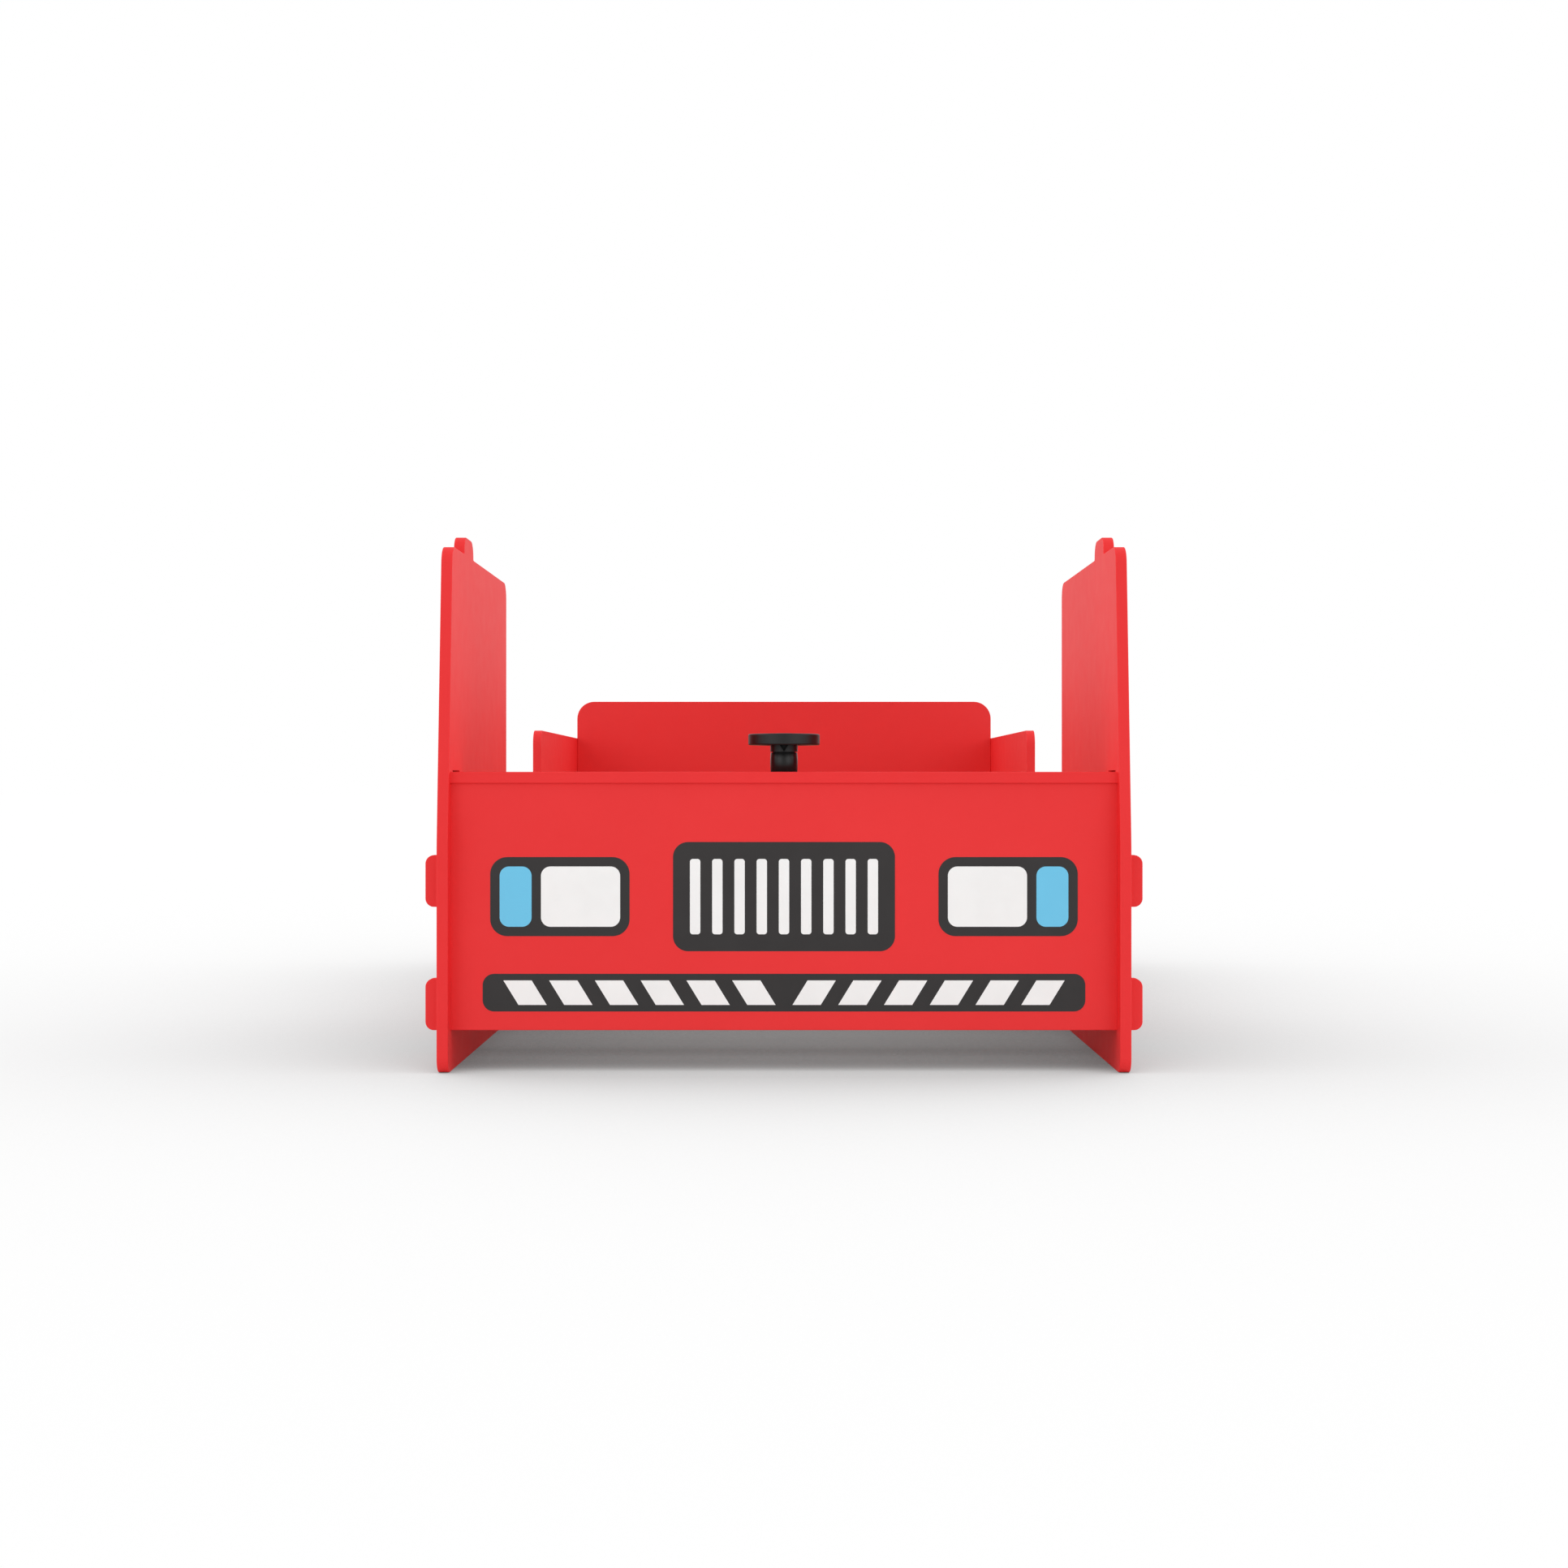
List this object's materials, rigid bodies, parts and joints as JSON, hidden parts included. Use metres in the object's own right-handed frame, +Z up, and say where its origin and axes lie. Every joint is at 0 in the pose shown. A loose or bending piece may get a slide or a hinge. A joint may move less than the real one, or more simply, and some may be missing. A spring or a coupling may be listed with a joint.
{
  "type": "toddler bed",
  "caption": "Low toddler bed of slot-together painted board, cut as a small fire engine, with a cab, low step-in sides, a slatted deck and a turning steering wheel.",
  "frame": {"origin": "on the floor, in the middle of the bed's length and width", "axes": "+Z up; the cab is at the -Y end and the headboard at the +Y end; +X is to the right of somebody who stands before the cab and looks along +Y"},
  "size_m": [0.762, 1.468, 0.5805],
  "materials": {
    "red_board": "satin red paint on board",
    "plain_wood": "plain planed softwood",
    "zinc_steel": "zinc plated",
    "black_plastic": "matt black",
    "dark_nylon": "smooth dark nylon",
    "dark_vinyl": "satin vinyl film",
    "white_vinyl": "satin vinyl film",
    "blue_vinyl": "satin vinyl film"
  },
  "bodies": {
    "bed": {"side_panel_left": "red_board", "side_panel_right": "red_board", "front_panel": "red_board", "headboard_panel": "red_board", "dashboard_shelf": "red_board", "slat_rail_left": "plain_wood", "slat_rail_right": "plain_wood", "corner_block_front_left": "plain_wood", "corner_block_front_right": "plain_wood", "corner_block_rear_left": "plain_wood", "corner_block_rear_right": "plain_wood", "slat_01": "plain_wood", "slat_02": "plain_wood", "slat_03": "plain_wood", "slat_04": "plain_wood", "slat_05": "plain_wood", "slat_06": "plain_wood", "slat_07": "plain_wood", "slat_08": "plain_wood", "slat_09": "plain_wood", "slat_10": "plain_wood", "slat_11": "plain_wood", "slat_12": "plain_wood", "slat_13": "plain_wood", "slat_screws": "zinc_steel", "slat_rail_screws": "zinc_steel", "corner_block_screws": "zinc_steel", "column_screws": "zinc_steel", "pivot_bolt": "zinc_steel", "shelf_washer": "zinc_steel", "lock_nut": "zinc_steel", "steering_column": "black_plastic", "spacer_washer": "dark_nylon", "head_washer": "dark_nylon", "grille_decal": "dark_vinyl", "headlamp_decals": "dark_vinyl", "bumper_decal": "dark_vinyl", "tyre_decals_left": "dark_vinyl", "tyre_decals_right": "dark_vinyl", "window_frame_decal_left": "dark_vinyl", "window_frame_decal_right": "dark_vinyl", "grille_bar_decals": "white_vinyl", "headlamp_lens_decals": "white_vinyl", "bumper_block_decals": "white_vinyl", "rim_decals_left": "white_vinyl", "rim_decals_right": "white_vinyl", "stripe_decal_left": "white_vinyl", "stripe_decal_right": "white_vinyl", "ladder_decal_left": "white_vinyl", "ladder_decal_right": "white_vinyl", "marker_lens_decals": "blue_vinyl", "window_glass_decal_left": "blue_vinyl", "window_glass_decal_right": "blue_vinyl", "beacon_decal_left": "blue_vinyl", "beacon_decal_right": "blue_vinyl"},
    "steering": {"steering_wheel": "black_plastic", "hub_cap": "black_plastic"}
  },
  "joints": [
    {"name": "steering_turn", "type": "hinge", "parent": "bed", "child": "steering", "pos_m": [0, -0.6755, 0.35], "axis": [0, 0, 1], "continuous": true}
  ]
}
